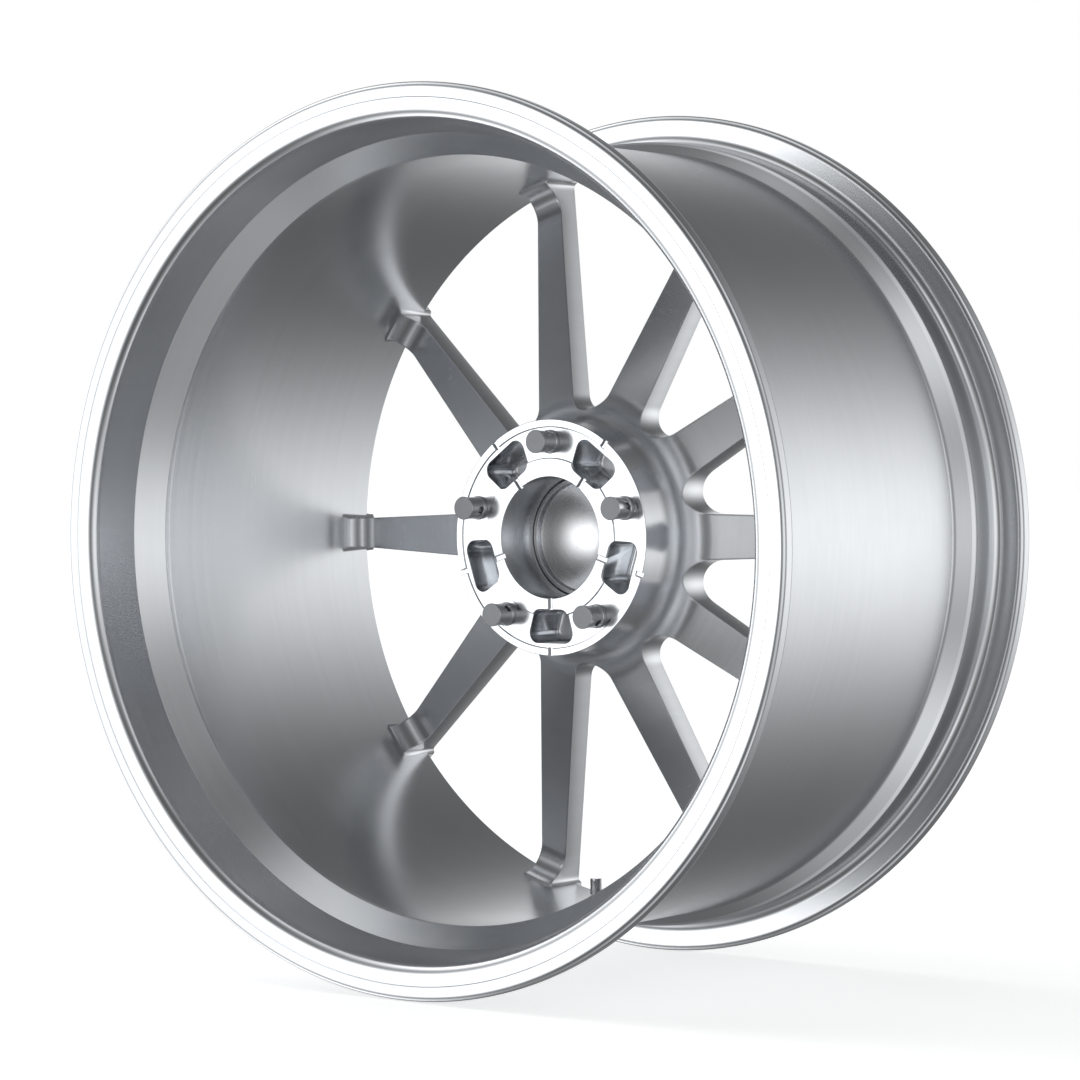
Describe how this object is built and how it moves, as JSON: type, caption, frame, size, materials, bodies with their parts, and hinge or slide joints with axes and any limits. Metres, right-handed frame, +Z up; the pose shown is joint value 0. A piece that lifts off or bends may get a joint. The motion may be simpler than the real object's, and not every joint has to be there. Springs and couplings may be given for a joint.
{
  "type": "racing wheel rim",
  "caption": "Forged one-piece road and racing wheel with straight spokes, deep barrel, wheel bolts, centre cap and tyre valve.",
  "frame": {"origin": "centre of the wheel: on the spin axis, in the plane halfway between the two tyre beads", "axes": "+Y along the spin axis towards the vehicle (the inboard side); +Z up, away from the tyre valve, which is at the bottom; +X completes the right-handed frame"},
  "size_m": [0.5172, 0.2624, 0.5172],
  "materials": {
    "forged_aluminium": "machined and brushed",
    "bolt_steel": "dark zinc, satin",
    "cap_aluminium": "turned",
    "spring_steel": "drawn wire",
    "valve_nickel": "polished nickel",
    "valve_rubber": "moulded",
    "valve_brass": "turned"
  },
  "bodies": {
    "wheel": {"barrel": "forged_aluminium", "inboard_rim": "forged_aluminium", "outboard_rim": "forged_aluminium", "hub": "forged_aluminium", "spoke_01": "forged_aluminium", "spoke_02": "forged_aluminium", "spoke_03": "forged_aluminium", "spoke_04": "forged_aluminium", "spoke_05": "forged_aluminium", "spoke_06": "forged_aluminium", "spoke_07": "forged_aluminium", "spoke_08": "forged_aluminium", "spoke_09": "forged_aluminium", "spoke_10": "forged_aluminium", "valve_body": "valve_nickel", "valve_seal": "valve_rubber", "valve_washer": "valve_nickel", "valve_nut": "valve_nickel", "valve_core": "valve_brass", "valve_core_spring": "valve_brass"},
    "wheel_bolt_1": {"wheel_bolt_1": "bolt_steel"},
    "wheel_bolt_2": {"wheel_bolt_2": "bolt_steel"},
    "wheel_bolt_3": {"wheel_bolt_3": "bolt_steel"},
    "wheel_bolt_4": {"wheel_bolt_4": "bolt_steel"},
    "wheel_bolt_5": {"wheel_bolt_5": "bolt_steel"},
    "centre_cap": {"centre_cap": "cap_aluminium", "cap_spring_ring": "spring_steel"},
    "valve_cap": {"valve_cap": "valve_nickel", "valve_cap_gasket": "valve_rubber"},
    "valve_core_pin": {"valve_core_pin": "valve_brass"}
  },
  "joints": [
    {"name": "wheel_bolt_1_draw", "type": "slide", "parent": "wheel", "child": "wheel_bolt_1", "axis": [0, -1, 0], "range_m": [0, 0.065]},
    {"name": "wheel_bolt_2_draw", "type": "slide", "parent": "wheel", "child": "wheel_bolt_2", "axis": [0, -1, 0], "range_m": [0, 0.065]},
    {"name": "wheel_bolt_3_draw", "type": "slide", "parent": "wheel", "child": "wheel_bolt_3", "axis": [0, -1, 0], "range_m": [0, 0.065]},
    {"name": "wheel_bolt_4_draw", "type": "slide", "parent": "wheel", "child": "wheel_bolt_4", "axis": [0, -1, 0], "range_m": [0, 0.065]},
    {"name": "wheel_bolt_5_draw", "type": "slide", "parent": "wheel", "child": "wheel_bolt_5", "axis": [0, -1, 0], "range_m": [0, 0.065]},
    {"name": "centre_cap_pull", "type": "slide", "parent": "wheel", "child": "centre_cap", "axis": [0, -1, 0], "range_m": [0, 0.03]},
    {"name": "valve_cap_lift", "type": "slide", "parent": "wheel", "child": "valve_cap", "axis": [0, 0, 1], "range_m": [0, 0.015]},
    {"name": "valve_core_press", "type": "slide", "parent": "wheel", "child": "valve_core_pin", "axis": [0, 0, -1], "range_m": [0, 0.0012], "stiffness_N_per_m": 400, "deforming": ["valve_core_spring"]}
  ]
}
